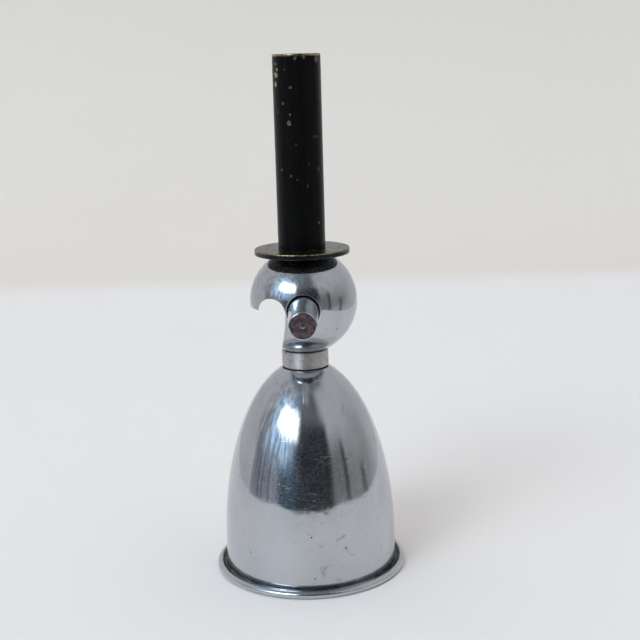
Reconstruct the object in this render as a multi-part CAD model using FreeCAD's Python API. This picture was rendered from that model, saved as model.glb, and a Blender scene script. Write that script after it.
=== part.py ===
import FreeCAD, Part
import math
import os

# A figural bar tool, in millimetres.  An upturned measuring cup is the body.  On its crown sit a
# neck collar and a ball head, with a beak-shaped cap lifter cut into it, a cross bar for the
# fingers, and a corkscrew on top.  A tall hat with a brim slides down over the corkscrew.
# The origin is the centre of the cup's rest ring, +Z is up, the beak points to -X and the cross
# bar lies along Y.

# Cup: an upturned spun measure with a rolled rim.
cup_radius = 22.6            # outside, where the wall is vertical
cup_wall = 0.8
cup_crown_height = 54.25     # flat crown that the neck stands on
cup_crown_wall = 1.0
curve_height = 8.0           # the elliptical shoulder starts here
curve_rise = 48.1            # its vertical half axis, outside
rim_bead_radius = 0.98
rim_bead_centre = 24.22
rim_bead_height = 0.93       # a little under its radius, so that the rest ring is flat
gutter_radius = 0.38         # hollow between the wall and the bead
gutter_angle = 150.0         # where the gutter meets the bead
wall_lean = 7.5              # degrees that the wall leans out at its foot
lip_radius = 1.7             # rounding inside the mouth
curl_seam_radius = 23.9      # where the rolled edge closes, underneath
curl_seam_depth = 0.35

# Screw that ties the cup, the collar and the head together.
screw_radius = 2.45
screw_head_radius = 4.2
screw_head_height = 2.6
screw_slot_width = 1.1
screw_slot_depth = 1.2
screw_end_height = 66.0
screw_hole_radius = 2.5
seal_radius = 5.0
seal_thickness = 0.8

# Neck: a satin collar between two thin dark gaskets.
collar_radius = 6.05
collar_height = 4.3
collar_edge = 0.15
lower_gasket_thickness = 0.4
upper_gasket_thickness = 0.45
lower_gasket_radius = 5.95
upper_gasket_radius = 5.9

# Head: a ball, cut flat above and below.
ball_radius = 13.88
ball_height = 71.75
head_foot_edge = 0.15        # broken edge round the lower flat
hat_seat_height = 84.0       # flat on top of the ball

# Beak notch, cut right through along Y.
notch_radius = 3.4
notch_centre = -7.9
notch_height = 71.05         # flat underside of the beak
throat_middle = (-5.0, 64.8)
throat_foot = -6.1

# Cross bar through the ball.
bar_radius = 3.85
bar_end_radius = 3.45
bar_height = 71.35           # a little below the ball's centre
bar_half_length = 30.0
bar_taper_start = 12.9
bar_edge = 0.4
bar_hole_clearance = 0.03
bar_mouth_radius = 4.12
bar_mouth_start = 12.2
bar_mouth_bevel_start = 12.95  # the mouth's edge is bevelled at 45 degrees from here out
bar_dimple_radius = 0.55
bar_dimple_depth = 0.5

# Ferrule that holds the corkscrew and centres the hat.
ferrule_radius = 4.45
ferrule_height = 6.0
ferrule_edge = 0.6
ferrule_groove_depth = 0.25
ferrule_groove_width = 0.8
ferrule_thread_radius = 3.0
ferrule_thread_depth = 6.0

# Corkscrew.
worm_wire_radius = 1.2
worm_coil_radius = 2.95
worm_pitch = 8.4
worm_foot = 69.6             # end of the shank, inside the cross bar
worm_coil_start = 91.5
worm_turns = 4.45
worm_lead_turns = 0.5        # the wire swings out from the axis over this much
worm_point_turns = 0.45      # length of the tapered point
worm_tip_share = 0.1         # radius left at the very tip
worm_section_points = 12

# Hat.
hat_gap = 0.05               # between the brim and the ball's flat
hat_top_height = 134.0
hat_tube_radius = 6.05
hat_tube_wall = 0.8
hat_tube_edge = 0.35
brim_radius = 12.22
brim_thickness = 1.4
brim_edge = 0.25
crown_thickness = 0.9
crown_recess = 0.12
liner_wall = 0.7
liner_height = 8.0
liner_slot_width = 0.6
liner_slot_height = 5.5
liner_slots = 4

fit_gap = 0.02               # radial gap of fixed round fits

origin = FreeCAD.Vector(0, 0, 0)
up = FreeCAD.Vector(0, 0, 1)
along_bar = FreeCAD.Vector(0, 1, 0)

lower_gasket_base = cup_crown_height
collar_base = lower_gasket_base + lower_gasket_thickness
upper_gasket_base = collar_base + collar_height
head_base = upper_gasket_base + upper_gasket_thickness
hat_base = hat_seat_height + hat_gap
ferrule_top = hat_seat_height + ferrule_height
worm_turn_length = math.hypot(2 * math.pi * worm_coil_radius, worm_pitch)


def at(radius, height):
    """A point of an outline in the XZ plane."""
    return FreeCAD.Vector(radius, 0, height)


def polar(centre, radius, degrees):
    """The point on a circle in the XZ plane, counted from +X towards +Z."""
    angle = math.radians(degrees)
    return centre + at(radius * math.cos(angle), radius * math.sin(angle))


def line(start, end):
    return Part.makeLine(start, end)


def arc(centre, radius, first, last):
    """An arc of a circle in the XZ plane, between two angles in degrees."""
    middle = (first + last) / 2
    points = [polar(centre, radius, degrees) for degrees in (first, middle, last)]
    return Part.Arc(*points).toShape()


def chain(points):
    """Straight edges from each point to the next."""
    return [line(start, end) for start, end in zip(points, points[1:])]


def flat_face(edges):
    return Part.Face(Part.Wire(Part.__sortEdges__(edges)))


def turned(edges):
    """A closed outline in the XZ plane, turned about the Z axis."""
    solid = flat_face(edges).revolve(origin, up, 360)
    if solid.Volume < 0:
        solid.reverse()
    return solid


def turned_outline(points):
    """The same, for an outline of straight edges."""
    return turned(chain(points + points[:1]))


def rod(radius, bottom, top):
    return Part.makeCylinder(radius, top - bottom, at(0, bottom), up)


def ring(outer, inner, bottom, top):
    return rod(outer, bottom, top).cut(rod(inner, bottom - 1, top + 1))


def shoulder(half_width, half_height, low, high):
    """A stretch of the upright ellipse that shapes the cup, between two heights."""
    tip = at(0, curve_height + half_height)
    side = at(half_width, curve_height)
    ellipse = Part.Ellipse(tip, side, at(0, curve_height))
    first = math.acos((high - curve_height) / half_height)
    last = math.acos((low - curve_height) / half_height)
    return ellipse.toShape(first, last)


def shoulder_radius(half_width, half_height, height):
    share = (height - curve_height) / half_height
    return half_width * math.sqrt(1 - share * share)


def cup_shell():
    """Thin spun cup, open at the bottom, with the edge rolled outwards into a round bead."""
    inner_radius = cup_radius - cup_wall
    inner_crown = cup_crown_height - cup_crown_wall
    inner_rise = curve_rise - cup_wall
    outer_land = at(shoulder_radius(cup_radius, curve_rise, cup_crown_height), cup_crown_height)
    inner_land = at(shoulder_radius(inner_radius, inner_rise, inner_crown), inner_crown)

    bead = at(rim_bead_centre, rim_bead_height)
    gutter = polar(bead, rim_bead_radius + gutter_radius, gutter_angle)
    foot = polar(gutter, gutter_radius, 180 + wall_lean)
    lean = math.radians(wall_lean)
    flare_radius = (foot.x - cup_radius) / (1 - math.cos(lean))
    flare = at(cup_radius + flare_radius, foot.z + flare_radius * math.sin(lean))
    bead_flat = math.degrees(math.asin(rim_bead_height / rim_bead_radius))
    lip = at(inner_radius + lip_radius, lip_radius)
    seam_half_width = curl_seam_depth / 2

    outside = [
        line(at(screw_hole_radius + 0.1, cup_crown_height), outer_land),
        shoulder(cup_radius, curve_rise, curve_height, cup_crown_height),
        line(at(cup_radius, curve_height), at(cup_radius, flare.z)),
        arc(flare, flare_radius, 180, 180 + wall_lean),
        arc(gutter, gutter_radius, 180 + wall_lean, 180 + gutter_angle),
        arc(bead, rim_bead_radius, gutter_angle, -bead_flat),
    ]
    underside = chain([
        polar(bead, rim_bead_radius, -bead_flat),
        at(curl_seam_radius + seam_half_width, 0),
        at(curl_seam_radius, curl_seam_depth),
        at(curl_seam_radius - seam_half_width, 0),
        at(lip.x, 0),
    ])
    inside = [
        arc(lip, lip_radius, 270, 180),
        line(at(inner_radius, lip_radius), at(inner_radius, curve_height)),
        shoulder(inner_radius, inner_rise, curve_height, inner_crown),
        line(inner_land, at(screw_hole_radius + 0.1, inner_crown)),
        line(at(screw_hole_radius + 0.1, inner_crown), at(screw_hole_radius + 0.1, cup_crown_height)),
    ]
    return turned(outside + underside + inside)


def seal_washer():
    """Fibre washer between the screw's head and the inside of the crown."""
    top = cup_crown_height - cup_crown_wall
    return ring(seal_radius, screw_hole_radius, top - seal_thickness, top)


def cup_screw():
    """Slotted round-head screw, put in from inside the cup."""
    bearing = cup_crown_height - cup_crown_wall - seal_thickness
    head_rim = bearing - 0.8
    head_bottom = bearing - screw_head_height
    shank = screw_radius
    dome_mid = at(screw_head_radius * 0.62, head_bottom + (head_rim - head_bottom) * 0.24)
    dome = Part.Arc(at(0, head_bottom), dome_mid, at(screw_head_radius, head_rim)).toShape()
    rest = chain([
        at(screw_head_radius, head_rim),
        at(screw_head_radius, bearing),
        at(shank, bearing),
        at(shank, screw_end_height - 0.8),
        at(shank - 0.8, screw_end_height),
        at(0, screw_end_height),
        at(0, head_bottom),
    ])
    screw = turned([dome] + rest)
    slot = Part.makeBox(3 * screw_head_radius, screw_slot_width, screw_slot_depth)
    slot.translate(FreeCAD.Vector(-1.5 * screw_head_radius, -screw_slot_width / 2, head_bottom))
    return screw.cut(slot)


def lower_gasket():
    top = lower_gasket_base + lower_gasket_thickness
    return ring(lower_gasket_radius, screw_hole_radius + 0.1, lower_gasket_base, top)


def neck_collar():
    """Plain turned collar with broken edges."""
    bore = screw_hole_radius + 0.1
    top = collar_base + collar_height
    return turned_outline([
        at(bore, collar_base),
        at(collar_radius - collar_edge, collar_base),
        at(collar_radius, collar_base + collar_edge),
        at(collar_radius, top - collar_edge),
        at(collar_radius - collar_edge, top),
        at(bore, top),
    ])


def upper_gasket():
    top = upper_gasket_base + upper_gasket_thickness
    return ring(upper_gasket_radius, screw_hole_radius + 0.1, upper_gasket_base, top)


def beak_notch():
    """The space of the cap lifter: a half round under the beak, open down to the throat."""
    centre = at(notch_centre, notch_height)
    left = at(notch_centre - notch_radius, notch_height)
    right = at(notch_centre + notch_radius, notch_height)
    foot = at(throat_foot, head_base)
    throat = Part.Arc(right, at(*throat_middle), foot).toShape()
    far = -2 * ball_radius
    around = chain([foot, at(far, head_base), at(far, notch_height), left])
    face = flat_face([arc(centre, notch_radius, 180, 0), throat] + around)
    face.translate(along_bar * -2 * ball_radius)
    return face.extrude(along_bar * 4 * ball_radius)


def head_ball():
    """Ball with a flat for the hat, a flat below, the beak notch and the bores."""
    ball = Part.makeSphere(ball_radius, at(0, ball_height))
    ball = ball.cut(rod(2 * ball_radius, hat_seat_height, hat_seat_height + ball_radius))
    ball = ball.cut(rod(2 * ball_radius, ball_height - 2 * ball_radius, head_base))
    foot_radius = math.sqrt(ball_radius ** 2 - (ball_height - head_base) ** 2)
    outside = 2 * ball_radius
    ball = ball.cut(turned(chain([
        at(foot_radius - head_foot_edge, head_base),
        at(foot_radius + head_foot_edge, head_base + head_foot_edge),
        at(outside, head_base + head_foot_edge),
        at(outside, head_base),
        at(foot_radius - head_foot_edge, head_base),
    ])))
    head = ball.cut(beak_notch())
    reach = 2 * ball_radius
    bore = Part.makeCylinder(bar_radius + bar_hole_clearance, 2 * reach,
                             FreeCAD.Vector(0, -reach, bar_height), along_bar)
    head = head.cut(bore)
    for side in (1, -1):
        mouth_start = FreeCAD.Vector(0, side * bar_mouth_start, bar_height)
        head = head.cut(Part.makeCylinder(bar_mouth_radius, reach, mouth_start, along_bar * side))
        bevel_start = FreeCAD.Vector(0, side * bar_mouth_bevel_start, bar_height)
        bevel_depth = 1.5
        head = head.cut(Part.makeCone(bar_mouth_radius, bar_mouth_radius + bevel_depth,
                                      bevel_depth, bevel_start, along_bar * side))
    screw_hole = rod(screw_hole_radius, head_base - 1, screw_end_height + 0.5)
    thread_hole = rod(ferrule_thread_radius, hat_seat_height - ferrule_thread_depth - 0.2,
                      hat_seat_height + 1)
    shank_hole = rod(worm_wire_radius + fit_gap, ball_height, hat_seat_height)
    return head.cut(screw_hole).cut(thread_hole).cut(shank_hole)


def cross_bar():
    """Finger bar, tapered to both ends, with turning centres and a hole for the shank."""
    edge_centre = at(bar_end_radius - bar_edge, bar_half_length - bar_edge)
    half = chain([
        at(0, 0),
        at(bar_radius, 0),
        at(bar_radius, bar_taper_start),
        polar(edge_centre, bar_edge, 0),
    ]) + [arc(edge_centre, bar_edge, 0, 90)] + chain([
        polar(edge_centre, bar_edge, 90),
        at(bar_dimple_radius, bar_half_length),
        at(0, bar_half_length - bar_dimple_depth),
        at(0, 0),
    ])
    upper = turned(half)
    lower = upper.mirror(origin, up)
    bar = upper.fuse(lower).removeSplitter()
    bar.rotate(origin, FreeCAD.Vector(1, 0, 0), -90)
    bar.translate(at(0, bar_height))
    shank_hole = rod(worm_wire_radius + fit_gap, worm_foot - 0.1, hat_seat_height)
    return bar.cut(shank_hole)


def worm_ferrule():
    """Turned boss, screwed into the ball, with a grip groove for the hat's liner."""
    bore = worm_wire_radius + fit_gap
    thread = ferrule_thread_radius - fit_gap
    groove_middle = hat_seat_height + 0.55 * ferrule_height
    groove_low = groove_middle - ferrule_groove_width / 2
    groove_high = groove_middle + ferrule_groove_width / 2
    groove = ferrule_radius - ferrule_groove_depth
    return turned_outline([
        at(bore, hat_seat_height - ferrule_thread_depth),
        at(thread - 0.4, hat_seat_height - ferrule_thread_depth),
        at(thread, hat_seat_height - ferrule_thread_depth + 0.4),
        at(thread, hat_seat_height),
        at(ferrule_radius, hat_seat_height),
        at(ferrule_radius, groove_low),
        at(groove, groove_low + ferrule_groove_depth),
        at(groove, groove_high - ferrule_groove_depth),
        at(ferrule_radius, groove_high),
        at(ferrule_radius, ferrule_top - ferrule_edge),
        at(ferrule_radius - ferrule_edge, ferrule_top),
        at(bore, ferrule_top),
    ])


def worm_path(turn):
    """Centre line of the corkscrew: straight up to turn 0, then out into an even helix."""
    if turn <= 0:
        return at(0, worm_coil_start + turn * worm_turn_length)
    share = min(1.0, turn / worm_lead_turns)
    swing = worm_coil_radius * share * share * (3 - 2 * share)
    angle = 2 * math.pi * turn
    height = worm_coil_start + worm_pitch * turn
    return FreeCAD.Vector(swing * math.cos(angle), swing * math.sin(angle), height)


def worm_section(turn):
    """Points round the wire at a place along it, closed, on a radius that tapers to the point."""
    step = 0.001
    centre = worm_path(turn)
    direction = worm_path(turn + step) - worm_path(turn - step)
    direction.normalize()
    angle = 2 * math.pi * max(0, turn)
    outward = FreeCAD.Vector(math.cos(angle), math.sin(angle), 0)
    across = outward - direction * direction.dot(outward)
    across.normalize()
    beside = direction.cross(across)
    left = (worm_turns - turn) / worm_point_turns
    radius = worm_wire_radius * min(1.0, worm_tip_share + (1 - worm_tip_share) * left)
    points = []
    for index in range(worm_section_points):
        around = 2 * math.pi * index / worm_section_points
        points.append(centre + across * (radius * math.cos(around))
                      + beside * (radius * math.sin(around)))
    return points + points[:1]


def worm():
    """Open wire corkscrew with a straight shank and a sharp point, as one smooth tube."""
    shank_turns = (worm_coil_start - worm_foot) / worm_turn_length
    count = round((shank_turns + worm_turns) * worm_section_points)
    step = (shank_turns + worm_turns) / count
    surface = Part.BSplineSurface()
    surface.interpolate([worm_section(index * step - shank_turns) for index in range(count + 1)])
    skin = surface.toShape()
    ends = [Part.Face(Part.Wire(edge)) for edge in skin.Edges if edge.isClosed()]
    shell = Part.makeShell([skin] + ends)
    shell.sewShape()
    solid = Part.makeSolid(shell)
    if solid.Volume < 0:
        solid.reverse()
    return solid


def hat_brim():
    """Flat round brim with rounded edges, soldered round the foot of the tube."""
    top = hat_base + brim_thickness
    hole = hat_tube_radius + fit_gap
    edge = brim_radius - brim_edge
    return turned([
        line(at(hole, hat_base), at(edge, hat_base)),
        arc(at(edge, hat_base + brim_edge), brim_edge, 270, 360),
        line(at(brim_radius, hat_base + brim_edge), at(brim_radius, top - brim_edge)),
        arc(at(edge, top - brim_edge), brim_edge, 0, 90),
        line(at(edge, top), at(hole, top)),
        line(at(hole, top), at(hole, hat_base)),
    ])


def hat_tube():
    """Thin tube that covers the corkscrew, with a rounded top edge."""
    inner = hat_tube_radius - hat_tube_wall
    edge = hat_tube_radius - hat_tube_edge
    return turned([
        line(at(inner, hat_base), at(hat_tube_radius, hat_base)),
        line(at(hat_tube_radius, hat_base), at(hat_tube_radius, hat_top_height - hat_tube_edge)),
        arc(at(edge, hat_top_height - hat_tube_edge), hat_tube_edge, 0, 90),
        line(at(edge, hat_top_height), at(inner, hat_top_height)),
        line(at(inner, hat_top_height), at(inner, hat_base)),
    ])


def hat_crown():
    """Disc that closes the top of the tube, set in just below its edge."""
    top = hat_top_height - crown_recess
    return rod(hat_tube_radius - hat_tube_wall - fit_gap, top - crown_thickness, top)


def hat_liner():
    """Sprung sleeve inside the foot of the tube, split into fingers that grip the ferrule."""
    outer = hat_tube_radius - hat_tube_wall - fit_gap
    liner = ring(outer, outer - liner_wall, hat_base, hat_base + liner_height)
    for index in range(liner_slots):
        slot = Part.makeBox(2 * outer, liner_slot_width, liner_slot_height)
        slot.translate(FreeCAD.Vector(0, -liner_slot_width / 2, hat_base))
        slot.rotate(origin, up, index * 360 / liner_slots + 45)
        liner = liner.cut(slot)
    return liner


NODES = [
    cup_shell, seal_washer, cup_screw,
    lower_gasket, neck_collar, upper_gasket,
    head_ball, cross_bar, worm_ferrule, worm,
    hat_brim, hat_tube, hat_crown, hat_liner,
]

os.makedirs("parts", exist_ok=True)
for make in NODES:
    shape = make()
    print(f"{make.__name__:14s} volume {shape.Volume:9.1f} mm3, solids {len(shape.Solids)},"
          f" valid {shape.isValid()}")
    shape.exportStep(f"parts/{make.__name__}.step")
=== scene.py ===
import math

import bpy
from mathutils import Euler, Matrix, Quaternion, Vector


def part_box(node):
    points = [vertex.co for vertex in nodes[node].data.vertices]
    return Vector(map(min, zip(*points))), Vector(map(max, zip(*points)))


# The looks of a chrome bar tool: an upturned cup, a ball head with a beak notch and a cross bar,
# and a worn black hat that lifts off a corkscrew.  Everything is in metres.

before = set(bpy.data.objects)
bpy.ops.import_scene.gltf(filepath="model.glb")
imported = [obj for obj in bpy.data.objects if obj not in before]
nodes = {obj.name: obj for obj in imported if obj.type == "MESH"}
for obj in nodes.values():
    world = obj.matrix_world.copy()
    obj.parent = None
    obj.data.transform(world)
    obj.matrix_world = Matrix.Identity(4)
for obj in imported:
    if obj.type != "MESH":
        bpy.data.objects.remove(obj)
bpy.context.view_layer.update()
mm = 0.001


class Graph:
    """Adds shader nodes to a tree.  A plain input value is set on the socket itself."""

    colour_inputs = (0, 6, 7)    # a Mix node's share, first colour and second colour
    colour_output = 2

    def __init__(self, tree):
        self.tree = tree
        tree.nodes.clear()

    def add(self, kind, inputs=None, **settings):
        made = self.tree.nodes.new("ShaderNode" + kind)
        for name, value in settings.items():
            setattr(made, name, value)
        for socket, value in (inputs or {}).items():
            self.put(made.inputs[socket], value)
        return made

    def put(self, socket, value):
        if isinstance(value, bpy.types.NodeSocket):
            self.tree.links.new(value, socket)
        else:
            socket.default_value = value

    def split(self, vector):
        """The x, y and z of a vector."""
        return self.add("SeparateXYZ", {"Vector": vector}).outputs

    def math(self, operation, first, second=0.0, clamp=False):
        made = self.add("Math", {0: first, 1: second}, operation=operation, use_clamp=clamp)
        return made.outputs[0]

    def times(self, product, *factors):
        for factor in factors:
            product = self.math("MULTIPLY", product, factor)
        return product

    def plus(self, total, *others, clamp=False):
        """A sum.  With clamp, which is for values of 0 and up, it stops at 1."""
        for other in others:
            total = self.math("ADD", total, other, clamp)
        return total

    def ramp(self, value, low, high, start=0.0, end=1.0):
        """A smooth change from start to end while value goes from low to high."""
        made = self.add("MapRange", {"Value": value, "From Min": low, "From Max": high,
                                     "To Min": start, "To Max": end},
                        interpolation_type="SMOOTHSTEP")
        return made.outputs["Result"]

    def fall(self, value, low, high):
        """A smooth fall from 1 to 0 while value goes from low to high."""
        return self.ramp(value, low, high, 1.0, 0.0)

    def band(self, value, low, high, edge):
        """1 between low and high, falling smoothly to 0 within an edge on both sides."""
        return self.times(self.ramp(value, low - edge, low + edge),
                          self.fall(value, high - edge, high + edge))

    def mix(self, share, first, second):
        made = self.add("Mix", data_type="RGBA")
        for index, value in zip(self.colour_inputs, (share, first, second)):
            self.put(made.inputs[index], value)
        return made.outputs[self.colour_output]

    def noise(self, vector, scale, detail=2.0, roughness=0.5, distortion=0.0):
        """Soft noise round 0.5.  Its spots are about 1 / scale across, in metres on an object."""
        made = self.add("TexNoise", {"Vector": vector, "Scale": scale, "Detail": detail,
                                     "Roughness": roughness, "Distortion": distortion})
        return made.outputs["Fac"]

    def stretched(self, vector, x, y, z):
        """Coordinates scaled along each axis, for noise that is finer one way than another."""
        made = self.add("Mapping", {"Vector": vector, "Scale": (x, y, z)})
        return made.outputs["Vector"]

    def length(self, first, second):
        """The length of a flat vector, from its two parts."""
        return self.math("SQRT", self.plus(self.times(first, first), self.times(second, second)))


def grey(value, blue=0.0):
    """A grey, or a slightly blue one where blue is more than 0."""
    return (value, value * (1 + 0.3 * blue), value * (1 + blue), 1.0)


def material(name):
    """A new material, with its graph, its shader and a place's coordinates on the object."""
    made = bpy.data.materials.new(name)
    made.use_nodes = True
    graph = Graph(made.node_tree)
    place = graph.add("TexCoord").outputs["Object"]
    shader = graph.add("BsdfPrincipled")
    output = graph.add("OutputMaterial")
    made.node_tree.links.new(shader.outputs[0], output.inputs["Surface"])
    return made, graph, shader, place


def ring_polish(graph, shader, amount):
    """Spreads highlights across fine marks that run round the upright axis."""
    quarter_turn = 0.25
    around = graph.add("Tangent", direction_type="RADIAL", axis="Z")
    graph.put(shader.inputs["Tangent"], around.outputs[0])
    graph.put(shader.inputs["Anisotropic"], amount)
    graph.put(shader.inputs["Anisotropic Rotation"], quarter_turn)


def finish_metal(graph, shader, colour, rough, height, strength=0.12, depth=0.03 * mm,
                 metallic=1.0):
    """Connects the shader: colour, roughness, how metallic it is and fine relief."""
    bump = graph.add("Bump", {"Strength": strength, "Distance": depth, "Height": height})
    graph.put(shader.inputs["Base Color"], colour)
    graph.put(shader.inputs["Roughness"], rough)
    graph.put(shader.inputs["Metallic"], metallic)
    graph.put(shader.inputs["Normal"], bump.outputs["Normal"])


def hairlines(graph, place, stretch, threshold):
    """Thin wandering scratches, in some places only."""
    half_width = 0.0045
    field = graph.noise(graph.stretched(place, *stretch), 1.0, 2, 0.4, 0.6)
    line = graph.fall(graph.math("ABSOLUTE", graph.math("SUBTRACT", field, 0.5)), 0.0, half_width)
    where = graph.noise(graph.stretched(place, stretch[1], stretch[2], stretch[0]), 1.3, 2)
    return graph.times(line, graph.ramp(where, threshold, threshold + 0.05))


def hazy_chrome(graph, place, grooves, spared=0.0, more_marks=0.0, clean_and_lit=0.0):
    """Colour, roughness and height of old chrome: polishing grooves, hair-fine scratches, a haze of
    tiny marks, faint smears from wiping it down, water stains and a few pits.  Where spared is 1
    the haze is nearly gone.  Where the last argument is 1 the metal is less streaked and painted
    lighter, a painted brighter reflection."""
    smooth_dark, smooth_light = 0.035, 0.07
    haze_low, haze_high, haze_spared = 0.30, 0.52, 0.15
    dull, bright = (0.455, 0.475, 0.505, 1), (0.525, 0.545, 0.575, 1)
    # The first colour on the next line is a painted brighter reflection, used at the cup's foot.
    painted_brighter, stained, pitted = (0.555, 0.575, 0.60, 1), (0.30, 0.28, 0.26, 1), (0.15, 0.14, 0.13, 1)

    marks = graph.ramp(graph.plus(graph.noise(place, 13000, 2, 0.6), more_marks), 0.575, 0.635)
    scratches = graph.math("MAXIMUM", hairlines(graph, place, (70, 110, 420), 0.53),
                           hairlines(graph, place, (260, 190, 80), 0.54))
    stain = graph.times(graph.ramp(graph.noise(place, 330, 4, 0.6, 0.5), 0.60, 0.66),
                        graph.ramp(graph.noise(place, 60, 2), 0.52, 0.60))
    cells = graph.add("TexVoronoi", {"Vector": place, "Scale": 360})
    pit = graph.times(graph.fall(cells.outputs["Distance"], 0.04, 0.11),
                      graph.ramp(graph.noise(place, 90, 2), 0.50, 0.56))

    cloud = graph.noise(place, 110, 3)
    smear = graph.noise(graph.stretched(place, 330, 330, 28), 1.0, 3, 0.55, 0.3)
    smear_share = graph.ramp(clean_and_lit, 0.0, 1.0, 0.5, 0.2)
    worn = graph.plus(cloud, graph.times(smear_share, graph.math("SUBTRACT", smear, cloud)))
    haze = graph.times(marks, graph.ramp(worn, 0.35, 0.65, haze_low, haze_high),
                       graph.ramp(spared, 0.0, 1.0, 1.0, haze_spared))

    rough = graph.plus(haze, graph.ramp(cloud, 0.3, 0.75, smooth_dark, smooth_light),
                       graph.times(scratches, 0.3), graph.times(stain, 0.08),
                       graph.times(pit, 0.4), clamp=True)
    colour = graph.mix(graph.ramp(worn, 0.35, 0.65), dull, bright)
    # Painted lighter colour where the last argument is 1, a painted brighter reflection.
    colour = graph.mix(clean_and_lit, colour, painted_brighter)
    colour = graph.mix(graph.times(stain, 0.5), colour, stained)
    colour = graph.mix(pit, colour, pitted)
    height = graph.plus(graph.times(grooves, 0.5), graph.times(scratches, -0.5),
                        graph.times(pit, -1.0))
    return colour, rough, height


def bar_mouth(graph, x, y, z):
    """On the ball, a painted highlight on the edge round the finger bar's hole, and painted shade
    in the gap inside it.
    """
    bar_low, bar_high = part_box("cross_bar")
    bar = bar_high.x
    gap_full, gap_end = bar + 0.22 * mm, bar + 0.27 * mm
    edge_start, edge_full = bar + 0.26 * mm, bar + 0.30 * mm
    edge_fades, edge_end = bar + 0.58 * mm, bar + 0.70 * mm
    in_the_hole, outside_it = 11.0 * mm, 11.6 * mm
    above = graph.math("SUBTRACT", z, (bar_low.z + bar_high.z) / 2)
    from_axis = graph.length(x, above)
    outside = graph.ramp(graph.math("ABSOLUTE", y), in_the_hole, outside_it)
    edge = graph.times(graph.ramp(from_axis, edge_start, edge_full),
                       graph.fall(from_axis, edge_fades, edge_end), outside)
    gap_shade = graph.times(graph.fall(from_axis, gap_full, gap_end), outside)
    return edge, gap_shade


def rim_grime_and_shade(graph, place, x, y, z):
    """Dark grime and painted shade in the hollow behind the rolled rim.  The painted shade reaches
    higher up the wall at the sides.
    """
    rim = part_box("cup_shell")[1].x
    inner_start, inner_full = rim - 2.9 * mm, rim - 2.5 * mm
    bead_start, bead_full = rim - 2.2 * mm, rim - 2.0 * mm
    outer_full, outer_end = rim - 1.35 * mm, rim - 1.05 * mm
    wall_full, wall_end = 1.1 * mm, 1.8 * mm
    bead_top, bead_end = 2.1 * mm, 2.6 * mm
    front, side, side_rise = 15 * mm, 21 * mm, 0.8 * mm
    unevenness, thin, thick = 0.9 * mm, 0.75, 0.97
    uneven = graph.math("SUBTRACT", graph.noise(place, 420, 4, 0.65), 0.5)
    wander = graph.times(uneven, unevenness)
    radius = graph.plus(graph.length(x, y), wander)
    height = graph.plus(z, wander)
    # The painted shade climbs higher up the wall at the sides of the cup.
    at_sides = graph.ramp(graph.math("ABSOLUTE", x), front, side, 0.0, side_rise)
    on_wall = graph.fall(graph.math("SUBTRACT", height, at_sides), wall_full, wall_end)
    on_bead = graph.times(graph.ramp(radius, bead_start, bead_full),
                          graph.fall(height, bead_top, bead_end))
    within = graph.times(graph.ramp(radius, inner_start, inner_full),
                         graph.fall(radius, outer_full, outer_end))
    thickness = graph.ramp(graph.noise(place, 240, 3), 0.3, 0.6, thin, thick)
    return graph.times(within, graph.math("MAXIMUM", on_wall, on_bead), thickness)


def chrome():
    """Chrome of the cup and the ball.  The ball is the hazier of the two, except for its top, which
    has kept its polish under the hat's brim.  The foot of the cup is painted lighter, a painted
    brighter reflection."""
    hazier_foot, hazier_ball = 0.05, 0.025
    cup_spread, ball_spread = 0.8, 0.1
    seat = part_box("head_ball")[1].z
    worn_below, kept_above = seat - 4.6 * mm, seat - 3.4 * mm
    foot_full, foot_end = 7 * mm, 24 * mm
    ball_start, ball_full = 57 * mm, 60 * mm
    # The first two colours here are a painted highlight for the edge round the bar's hole and
    # painted shade for the gap inside it.
    # The third colour here is the dark of grime and painted shade in the hollow behind the rim.
    painted_edge_highlight, painted_gap_shade, dirt_and_shade = (0.88, 0.89, 0.90, 1), grey(0.03), (0.018, 0.021, 0.024, 1)
    edge_rough, dirt_rough = 0.34, 0.2
    made, graph, shader, place = material("chrome")
    x, y, z = graph.split(place)
    grooves = graph.noise(graph.stretched(place, 60, 60, 7000), 1.0, 3, 0.7)
    under_brim = graph.ramp(z, worn_below, kept_above)
    foot = graph.fall(z, foot_full, foot_end)
    on_ball = graph.ramp(z, ball_start, ball_full)
    more_marks = graph.plus(graph.times(foot, hazier_foot), graph.times(on_ball, hazier_ball))
    # At the foot the chrome is less streaked and gets the painted brighter reflection.
    colour, rough, height = hazy_chrome(graph, place, grooves, under_brim, more_marks, foot)

    # Painted highlight on the edge round the bar's hole, and painted shade in the gap inside it.
    edge, gap_shade = bar_mouth(graph, x, y, z)
    edge, gap_shade = graph.times(edge, on_ball), graph.times(gap_shade, on_ball)
    colour = graph.mix(edge, colour, painted_edge_highlight)
    colour = graph.mix(gap_shade, colour, painted_gap_shade)
    rough = graph.math("MAXIMUM", rough, graph.times(edge, edge_rough))

    # Grime and painted shade darken the chrome in the hollow behind the rim.
    grime_and_shade = rim_grime_and_shade(graph, place, x, y, z)
    colour = graph.mix(grime_and_shade, colour, dirt_and_shade)
    rough = graph.plus(rough, graph.times(grime_and_shade, dirt_rough), clamp=True)

    ring_polish(graph, shader, graph.ramp(on_ball, 0.0, 1.0, cup_spread, ball_spread))
    finish_metal(graph, shader, colour, rough, height)
    return made


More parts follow.
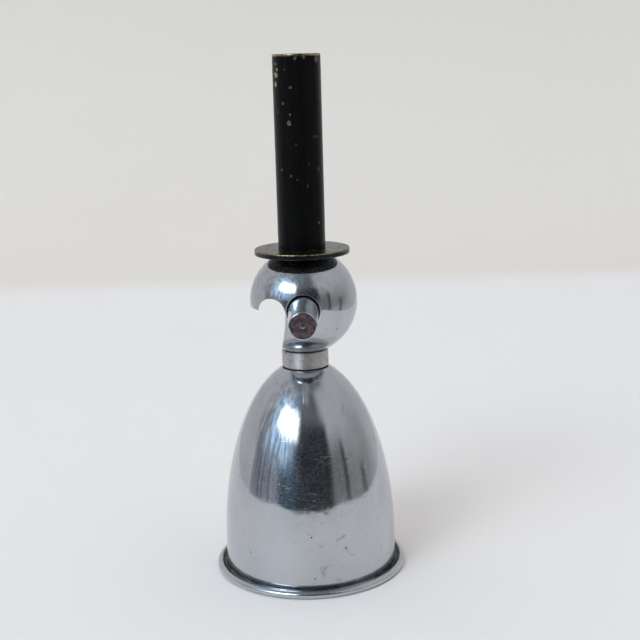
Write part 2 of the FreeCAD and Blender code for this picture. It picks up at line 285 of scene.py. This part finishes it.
def bar_chrome():
    """Chrome of the finger bar.  Its flat ends are worn down to a dull reddish metal."""
    reddish, brown, bare_rough = (0.27, 0.20, 0.215, 1), (0.12, 0.09, 0.10, 1), 0.42
    bar_low, bar_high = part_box("cross_bar")
    bare_start, bare_full = bar_high.y - 0.12 * mm, bar_high.y - 0.04 * mm
    centre_hole, past_hole = 0.45 * mm, 0.6 * mm
    flat = bar_high.x - 0.8 * mm
    flat_full, flat_end = flat - 0.1 * mm, flat + 0.1 * mm
    made, graph, shader, place = material("bar_chrome")
    x, y, z = graph.split(place)
    grooves = graph.times(graph.noise(graph.stretched(place, 60, 7000, 60), 1.0, 3), 0.5)
    colour, rough, height = hazy_chrome(graph, place, grooves)

    above = graph.math("SUBTRACT", z, (bar_low.z + bar_high.z) / 2)
    radius = graph.length(x, above)
    end = graph.times(graph.ramp(graph.math("ABSOLUTE", y), bare_start, bare_full),
                      graph.ramp(radius, centre_hole, past_hole),
                      graph.fall(radius, flat_full, flat_end))
    bare = graph.mix(graph.ramp(graph.noise(place, 900, 3, 0.6), 0.35, 0.65), reddish, brown)
    colour = graph.mix(end, colour, bare)
    rough = graph.math("MAXIMUM", rough, graph.times(end, bare_rough))
    finish_metal(graph, shader, colour, rough, height)
    return made


def satin():
    """Turned grey metal with fine rings round the axis and a mottled, handled look."""
    dull, bright = (0.50, 0.485, 0.48, 1), (0.66, 0.64, 0.63, 1)
    speckled, stained = (0.24, 0.235, 0.23, 1), (0.10, 0.095, 0.09, 1)
    made, graph, shader, place = material("satin_metal")
    rings = graph.noise(graph.stretched(place, 80, 80, 7000), 1.0, 3, 0.65)
    cloud = graph.noise(place, 650, 4, 0.6)
    stains = graph.ramp(graph.noise(place, 330, 3), 0.62, 0.74)
    speckle = graph.ramp(graph.noise(graph.stretched(place, 1, 1, 0.6), 3400, 3, 0.6), 0.45, 0.62)
    rough = graph.plus(graph.ramp(rings, 0.3, 0.7, 0.36, 0.46), graph.times(cloud, 0.10))
    colour = graph.mix(graph.ramp(cloud, 0.3, 0.7), dull, bright)
    colour = graph.mix(graph.times(speckle, 0.35), colour, speckled)
    colour = graph.mix(graph.times(stains, 0.6), colour, stained)
    ring_polish(graph, shader, 0.9)
    finish_metal(graph, shader, colour, rough, rings, strength=0.25, depth=0.04 * mm)
    return made


def bare_metal(name, tint, roughness, rings):
    """Bare metal, dulled a little unevenly, with turning marks round the axis where rings is more
    than 0."""
    dulling, spotted, rougher = 0.76, (0.12, 0.09, 0.06, 1), 0.10
    made, graph, shader, place = material(name)
    cloud = graph.noise(place, 260, 4, 0.6)
    marks = graph.noise(graph.stretched(place, 60, 60, 5200), 1.0, 3, 0.6)
    spots = graph.ramp(graph.noise(place, 800, 3), 0.62, 0.72)
    dark = tuple(dulling * part for part in tint) + (1,)
    colour = graph.mix(graph.ramp(cloud, 0.35, 0.7), tint + (1,), dark)
    colour = graph.mix(graph.times(spots, 0.5), colour, spotted)
    rough = graph.plus(graph.ramp(cloud, 0.3, 0.7, roughness, roughness + rougher),
                       graph.ramp(marks, 0.4, 0.7, 0.0, 0.12), graph.times(spots, 0.15))
    height = graph.plus(graph.times(marks, rings), graph.times(graph.noise(place, 2500, 3), 0.3))
    finish_metal(graph, shader, colour, rough, height, strength=0.15)
    return made


# Chips in the hat's black, by how much metal shows: degrees from the front, then distance below the
# top, half width and half height in millimetres.
chips = {
    1.0: (
        (-53, 3.7, 0.4, 0.5), (-57, 5.1, 1.0, 0.75), (-60, 7.3, 0.6, 0.7), (-15, 8.1, 0.5, 0.35),
        (-36, 12.0, 0.27, 0.45), (-18, 14.6, 0.27, 0.4), (-21, 16.7, 0.6, 0.8),
        (130, 12.0, 0.8, 0.9), (160, 27.0, 0.5, 0.8), (-140, 20.0, 0.6, 0.5),
    ),
    0.25: (
        (-58, 2.4, 0.6, 0.4), (-2, 1.1, 0.5, 0.6), (18, 1.0, 0.4, 0.5), (56, 1.4, 1.0, 0.9),
        (-29, 3.8, 0.2, 0.25), (-46, 28.2, 0.33, 0.45), (-20, 29.7, 0.3, 0.4),
        (-5, 30.6, 0.25, 0.25), (49, 41.7, 0.45, 0.45), (-165, 40.0, 0.7, 0.6),
    ),
    0.08: (
        (-55, 14.1, 0.5, 0.4), (45, 20.2, 1.2, 0.4), (53, 28.3, 0.7, 0.9), (24, 26.9, 0.45, 0.3),
        (-6, 22.0, 0.4, 0.4), (19, 32.2, 0.4, 0.5), (105, 38.0, 0.7, 0.5), (-100, 33.0, 0.6, 0.9),
    ),
}


def chip_mask(graph, flat, ragged, places, top, radius):
    """1 inside a chip, with ragged outlines.  flat is a place on the tube, rolled out flat."""
    far_off = 9.0
    outline, edge = 1.45, 0.2
    nearest = far_off
    for degrees, drop, half_width, half_height in places:
        centre = (math.radians(degrees) * radius, top - drop * mm, 0)
        away = graph.add("VectorMath", {0: flat, 1: centre}, operation="SUBTRACT")
        size = (1 / (half_width * mm), 1 / (half_height * mm), 1)
        scaled = graph.add("VectorMath", {0: away.outputs[0], 1: size}, operation="MULTIPLY")
        length = graph.add("VectorMath", {0: scaled.outputs[0]}, operation="LENGTH")
        nearest = graph.math("MINIMUM", nearest, length.outputs["Value"])
    return graph.fall(graph.plus(nearest, ragged), outline, outline + edge)


def hat_chips(graph, place, x, y, z, tube_high):
    """How much metal shows in the chips round the tube."""
    angle = graph.math("ARCTAN2", x, graph.times(y, -1.0))
    flat = graph.add("CombineXYZ", {"X": graph.times(angle, tube_high.x), "Y": z}).outputs[0]
    ragged = graph.times(graph.noise(place, 2000, 3, 0.7), 1.5)
    chipped = 0.0
    for depth, places in chips.items():
        mask = chip_mask(graph, flat, ragged, places, tube_high.z, tube_high.x)
        chipped = graph.math("MAXIMUM", chipped, graph.times(mask, depth))
    return chipped


def black_on_brass(name, gloss):
    """Semi-gloss black, worn to brass along the edges and chipped here and there."""
    black, warm_black = (0.0042, 0.0042, 0.0043, 1), (0.0062, 0.0060, 0.0057, 1)
    light_brass, dark_brass = (0.52, 0.40, 0.20, 1), (0.26, 0.18, 0.09, 1)
    yellow_chip, grey_chip, shallow_chip = (0.40, 0.35, 0.15, 1), (0.34, 0.34, 0.32, 1), grey(0.36)
    dusty, dust_rough, unevenness = grey(0.02), 0.25, 0.7 * mm
    made, graph, shader, place = material(name)
    x, y, z = graph.split(place)
    tube_high, brim_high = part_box("hat_tube")[1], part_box("hat_brim")[1]
    top, tube, brim_top, brim = tube_high.z, tube_high.x, brim_high.z, brim_high.x
    radius = graph.length(x, y)
    on_tube = graph.fall(radius, tube + 0.1 * mm, tube + 0.2 * mm)

    uneven = graph.math("SUBTRACT", graph.noise(place, 900, 3, 0.6), 0.5)
    wander = graph.times(uneven, unevenness)
    height = graph.plus(z, wander)
    top_edge = graph.ramp(height, top - 0.62 * mm, top - 0.46 * mm)
    outermost = graph.ramp(graph.plus(radius, graph.times(wander, 0.6)),
                           brim - 0.16 * mm, brim - 0.02 * mm)
    upper_half = graph.ramp(graph.plus(z, graph.times(wander, 0.5)),
                            brim_top - 0.30 * mm, brim_top - 0.16 * mm)
    on_brim = graph.fall(z, brim_top + 0.1 * mm, brim_top + 0.2 * mm)
    rim = graph.times(outermost, upper_half, on_brim)
    here_and_there = graph.ramp(graph.noise(place, 170, 2), 0.52, 0.60)
    by_the_brim = graph.fall(height, brim_top + 0.10 * mm, brim_top + 0.30 * mm)
    foot = graph.times(on_tube, here_and_there, by_the_brim)
    worn = graph.math("MAXIMUM", top_edge, graph.math("MAXIMUM", rim, foot))
    chipped = graph.times(hat_chips(graph, place, x, y, z, tube_high), on_tube)
    bare = graph.math("MAXIMUM", worn, chipped, clamp=True)

    paint = graph.mix(graph.noise(place, 240, 3), black, warm_black)
    brass = graph.mix(graph.ramp(graph.noise(place, 1100, 2), 0.4, 0.6), light_brass, dark_brass)
    deep_chip = graph.mix(graph.ramp(graph.noise(place, 260, 1), 0.42, 0.56), yellow_chip,
                          grey_chip)
    chip = graph.mix(graph.ramp(chipped, 0.3, 0.6), shallow_chip, deep_chip)
    metal = graph.mix(graph.ramp(chipped, 0.0, 0.06), brass, chip)

    streak = graph.noise(graph.stretched(place, 1, 1, 0.12), 600, 3)
    facing = graph.split(graph.add("NewGeometry").outputs["Normal"])
    dust = graph.times(graph.ramp(graph.noise(place, 3800, 2, 0.6), 0.60, 0.70),
                       graph.ramp(facing[2], -0.3, 0.2))
    paint = graph.mix(graph.times(dust, 4 * gloss * gloss), paint, dusty)
    rough = graph.plus(graph.ramp(streak, 0.3, 0.7, 0.20, 0.30), graph.times(dust, dust_rough))
    relief = graph.plus(graph.times(bare, -1.0), graph.times(streak, 0.12))
    graph.put(shader.inputs["Specular IOR Level"], gloss)
    finish_metal(graph, shader, graph.mix(bare, paint, metal), rough, relief, strength=0.35,
                 depth=0.05 * mm, metallic=bare)
    return made


def fibre():
    """Dark fibre of the gaskets and the washer."""
    black, brown = grey(0.008), (0.03, 0.028, 0.026, 1)
    made, graph, shader, place = material("black_fibre")
    grain = graph.noise(place, 3000, 3)
    graph.put(shader.inputs["Base Color"], graph.mix(grain, black, brown))
    graph.put(shader.inputs["Roughness"], graph.ramp(grain, 0.3, 0.7, 0.75, 0.95))
    return made


def cloth():
    """Plain pale sheet under the object, which looks warmer where it curves up into a backdrop."""
    flat_dark, flat_light = (0.835, 0.805, 0.785, 1), (0.865, 0.835, 0.815, 1)
    wall_dark, wall_light = (0.775, 0.720, 0.660, 1), (0.805, 0.750, 0.690, 1)
    flat_end, wall_start = 0.39, 0.44
    made, graph, shader, place = material("pale_sheet")
    y = graph.split(place)[1]
    cloud = graph.noise(place, 4, 3)
    flat, wall = graph.mix(cloud, flat_dark, flat_light), graph.mix(cloud, wall_dark, wall_light)
    colour = graph.mix(graph.ramp(y, flat_end, wall_start), flat, wall)
    graph.put(shader.inputs["Base Color"], colour)
    graph.put(shader.inputs["Roughness"], 0.9)
    graph.put(shader.inputs["Specular IOR Level"], 0.2)
    bump = graph.add("Bump", {"Strength": 0.05, "Distance": 0.2 * mm,
                              "Height": graph.noise(place, 900, 2)})
    graph.put(shader.inputs["Normal"], bump.outputs["Normal"])
    return made


def dress(made, *names):
    """Gives a material to each of the named nodes."""
    for name in names:
        nodes[name].data.materials.clear()
        nodes[name].data.materials.append(made)


def strips(name, sheets):
    """One mesh of flat-sided sheets, each a profile of (y, z) drawn out from left to right."""
    verts, faces = [], []
    for profile, left, right in sheets:
        start = len(verts)
        verts += [(x, y, z) for y, z in profile for x in (left, right)]
        faces += [[start + 2 * i + k for k in (0, 1, 3, 2)] for i in range(len(profile) - 1)]
    mesh = bpy.data.meshes.new(name)
    mesh.from_pydata(verts, [], faces)
    mesh.shade_smooth()
    made = bpy.data.objects.new(name, mesh)
    bpy.context.scene.collection.objects.link(made)
    return made


def sweep():
    """Floor that curves up into a backdrop well behind the object.  The polished parts mirror only
    the middle of it, as they would on a small table, and the room beyond that."""
    half_width, front = 2.5, -2.5
    table, table_front = 0.24, -0.25
    wall, bend, height, steps = 0.70, 0.30, 1.1, 16
    profile = [(table_front, 0.0), (wall - bend, 0.0)]
    for index in range(1, steps):
        angle = math.pi / 2 * index / steps
        profile.append((wall - bend + bend * math.sin(angle), bend - bend * math.cos(angle)))
    profile += [(wall, bend), (wall, height)]
    middle = strips("sweep", [(profile, -table, table)])
    around = strips("sweep_around", [(profile, -half_width, -table), (profile, table, half_width),
                                     ([(front, 0.0), (table_front, 0.0)], -half_width, half_width)])
    around.visible_glossy = False
    sheet = cloth()
    for part in (middle, around):
        part.data.materials.append(sheet)


def area_light(name, width, depth, energy):
    """A soft light that the polished parts don't mirror."""
    data = bpy.data.lights.new(name, "AREA")
    data.shape = "RECTANGLE"
    data.size = width
    data.size_y = depth
    data.energy = energy
    made = bpy.data.objects.new(name, data)
    made.visible_glossy = False
    bpy.context.scene.collection.objects.link(made)
    return made


def lights():
    """Daylight from the window's side, and broad light from above."""
    window = area_light("window", width=1.43, depth=0.87, energy=5.0)
    azimuth, elevation, distance = math.radians(-38), math.radians(35), 2.0
    aim_height = 0.06
    flat = distance * math.cos(elevation)
    window.location = (flat * math.sin(azimuth), -flat * math.cos(azimuth),
                       aim_height + distance * math.sin(elevation))
    window.rotation_euler = (math.pi / 2 - elevation, 0, -azimuth)
    overhead = area_light("overhead", width=2.0, depth=2.0, energy=11.0)
    overhead.location = (0, 0.1, 1.6)


def room():
    """The surroundings.  The camera sees a pale backdrop.  The polished parts mirror pale walls, a
    dark side behind the camera, a darker ceiling and a curtained window, up and to the left."""
    world = bpy.data.worlds.new("room")
    bpy.context.scene.world = world
    world.use_nodes = True
    graph = Graph(world.node_tree)
    direction = graph.add("TexCoord").outputs["Generated"]
    x, y, z = graph.split(direction)
    degrees = 180 / math.pi
    azimuth = graph.times(graph.math("ARCTAN2", x, graph.times(y, -1.0)), degrees)
    elevation = graph.times(graph.math("ARCSINE", z), degrees)
    cloud = graph.noise(direction, 3.0, 4, 0.6)
    folds = graph.noise(graph.stretched(direction, 17, 17, 0.8), 1.0, 3)

    def pleats(low, high, dark, light):
        return graph.mix(graph.ramp(folds, low, high), dark, light)

    # Each patch lies over those before it: the directions of its left and right ends, of its foot
    # and its top, the widths of its soft edges at the sides and at foot and top, its colour and its
    # share.  Directions are in degrees, round from the front and up from level.
    ground = -30
    patches = [
        # Pale walls at the right, with darker things that stand in front of them.
        (34, 112, ground, 20, 14, 14, grey(0.34), 0.8),
        (34, 98, ground, 6, 12, 6, grey(0.27), 0.7),
        (58, 125, ground, -9, 12, 4, grey(0.52), 0.8),
        (30, 61, ground, 20, 5, 10, grey(0.18), 0.8),
        # Curtains at the left, the lighter one by the side of the window.
        (-91, -14, ground, 56, 3, 9, pleats(0.35, 0.65, grey(0.14, 0.25), grey(0.36, 0.25)), 1.0),
        (-104, -60, 12, 60, 10, 8, pleats(0.35, 0.65, grey(0.30, 0.12), grey(0.62, 0.12)), 1.0),
        # The dark side behind the camera.
        (-20, 30, ground, 66, 12, 10, grey(0.17, 0.15), 1.0),
        (-34, 6, 46, 78, 8, 6, (0.23, 0.27, 0.30, 1), 0.85),
        (-44, 34, ground, 22, 5, 8, grey(0.02, 0.3), 1.0),
        (-41, -16, ground, 14, 5, 6, (0.015, 0.045, 0.08, 1), 1.0),
        (-18, 35, 10, 34, 5, 6, grey(0.03, 0.3), 1.0),
        # Two narrow dark uprights at the right.
        (54, 60, ground, 18, 2, 5, grey(0.05, 0.3), 0.85),
        (82, 90, ground, 3, 3, 3, grey(0.08, 0.1), 0.8),
        # Light on the curtain round the window, and the window itself.
        (-74, -27, 13, 50, 12, 8,
         pleats(0.38, 0.62, (0.30, 0.48, 0.68, 1), (1.0, 1.45, 1.9, 1)), 0.85),
        (-57, -22, 27, 42, 10, 6,
         pleats(0.3, 0.7, (3.0, 4.0, 5.0, 1), (12.0, 13.0, 14.0, 1)), 1.0),
    ]
    wall = graph.mix(cloud, grey(0.50, 0.03), grey(0.70, 0.03))
    ceiling = graph.mix(cloud, grey(0.15, 0.2), grey(0.24, 0.2))
    colour = graph.mix(graph.ramp(elevation, 56, 70), wall, ceiling)
    for left, right, foot, top, side_edge, end_edge, tint, share in patches:
        inside = graph.times(graph.band(azimuth, left, right, side_edge),
                             graph.band(elevation, foot, top, end_edge), share)
        colour = graph.mix(inside, colour, tint)

    floor, backdrop = grey(0.70, 0.04), (0.72, 0.71, 0.69, 1)
    colour = graph.mix(graph.fall(elevation, -32, -26), colour, floor)
    colour = graph.mix(graph.add("LightPath").outputs["Is Camera Ray"], colour, backdrop)
    background = graph.add("Background", {"Color": colour, "Strength": 1.0})
    output = graph.add("OutputWorld")
    graph.tree.links.new(background.outputs[0], output.inputs["Surface"])


def camera():
    """Level with the top of the hat, looking slightly down and with a small roll."""
    pitch, roll = math.radians(12.22), math.radians(-1.6)
    data = bpy.data.cameras.new("camera")
    data.sensor_width = 36
    data.lens = 67.0
    data.clip_start = 0.01
    made = bpy.data.objects.new("camera", data)
    made.location = (0.0041, -0.3022, 0.1318)
    tilt = Euler((math.pi / 2 - pitch, 0, 0)).to_quaternion()
    made.rotation_mode = "QUATERNION"
    made.rotation_quaternion = tilt @ Quaternion((0, 0, 1), roll)
    bpy.context.scene.collection.objects.link(made)
    bpy.context.scene.camera = made


camera()
sweep()
room()
lights()
bpy.context.scene.view_settings.view_transform = "Standard"

dress(chrome(), "cup_shell", "head_ball")
dress(bar_chrome(), "cross_bar")
dress(black_on_brass("tube_black", gloss=0.10), "hat_tube")
dress(black_on_brass("brim_black", gloss=0.40), "hat_brim")
dress(bare_metal("bare_brass", tint=(0.55, 0.41, 0.20), roughness=0.28, rings=0.6),
      "hat_crown", "hat_liner")
dress(bare_metal("nickel_brass", tint=(0.64, 0.60, 0.51), roughness=0.16, rings=0.9),
      "cup_screw", "worm_ferrule")
dress(bare_metal("bright_steel", tint=(0.56, 0.56, 0.56), roughness=0.18, rings=0.0), "worm")
dress(fibre(), "lower_gasket", "upper_gasket", "seal_washer")
dress(satin(), "neck_collar")
